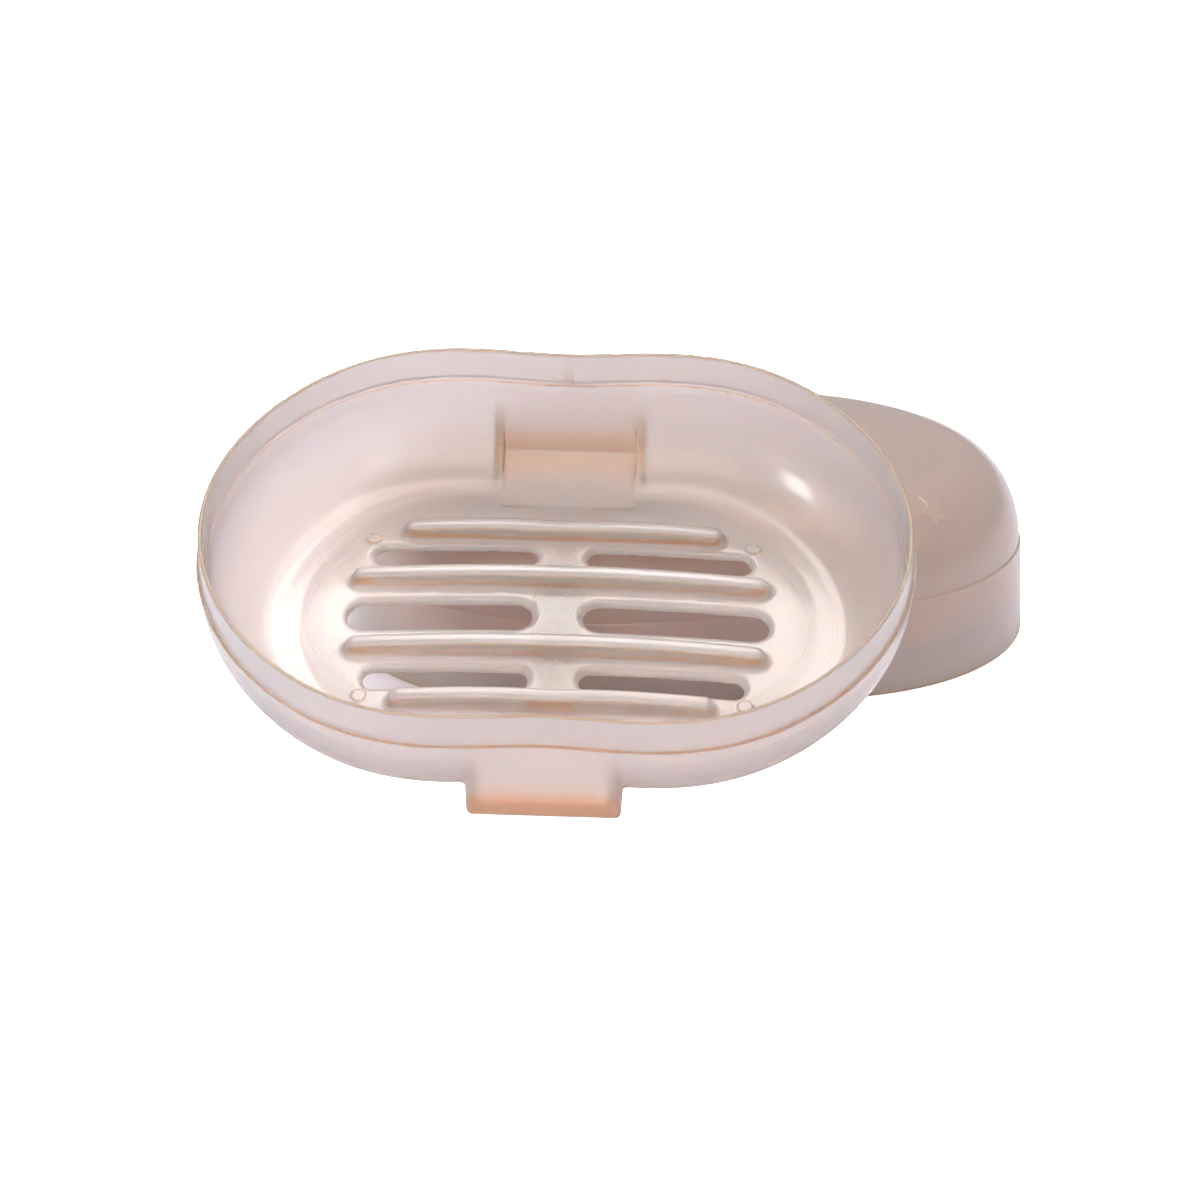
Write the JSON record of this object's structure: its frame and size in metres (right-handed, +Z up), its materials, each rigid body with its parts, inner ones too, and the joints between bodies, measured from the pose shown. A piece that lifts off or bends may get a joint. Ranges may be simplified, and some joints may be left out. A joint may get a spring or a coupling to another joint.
{
  "type": "travel soap box",
  "caption": "Waisted oval travel soap box, shown open: a slotted, ribbed tray leans on its domed slip-on lid.",
  "frame": {"origin": "middle of the floor area covered by the tray and the lid together, on the table", "axes": "+X along the tray's long side, +Y from the tray towards the lid, +Z up; the lid is turned 16 degrees about Z"},
  "size_m": [0.1264, 0.1438, 0.0554],
  "materials": {
    "tray_plastic": "thin translucent peach polypropylene, satin with glossy fillets",
    "lid_plastic": "thin translucent peach polypropylene, satin"
  },
  "bodies": {
    "lid": {"lid": "lid_plastic"},
    "tray": {"soap_tray": "tray_plastic"}
  },
  "joints": [
    {"name": "tray_lift", "type": "slide", "parent": "lid", "child": "tray", "axis": [0, 0, 1], "range_m": [0, 0.06]}
  ]
}
